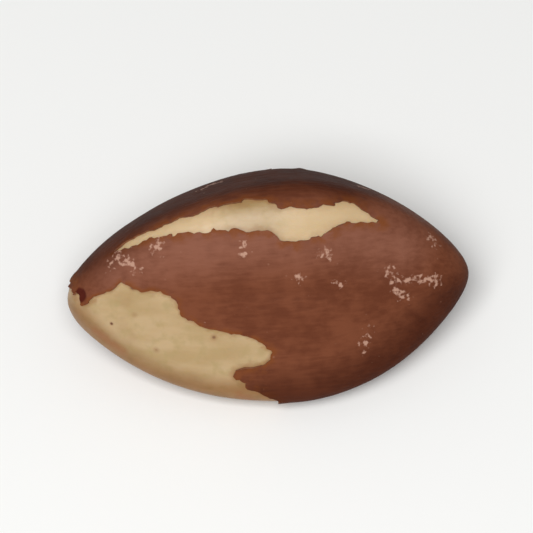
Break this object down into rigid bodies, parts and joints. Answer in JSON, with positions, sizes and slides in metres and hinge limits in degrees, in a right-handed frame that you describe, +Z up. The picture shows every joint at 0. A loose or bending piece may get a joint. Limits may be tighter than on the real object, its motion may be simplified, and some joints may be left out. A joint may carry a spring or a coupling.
{
  "type": "brazil nut",
  "caption": "Shelled nut kernel, long and three-sided with soft ridges and round tips, its thin brown skin torn back from cream flesh. Lies on one face.",
  "frame": {"origin": "on the table under the middle of the nut's outline", "axes": "+X along the nut from its scarred tip to its plain tip, +Y away from the broad face, +Z up from the face that it lies on"},
  "size_m": [0.04, 0.0232, 0.0189],
  "materials": {
    "skin": "reddish brown seed skin, thin and dry, satin with fine lengthwise wrinkles",
    "flesh": "bare cream flesh where the skin is gone, waxy, with tan stains and small brown dots"
  },
  "bodies": {
    "root": {"kernel": "skin"}
  },
  "joints": []
}
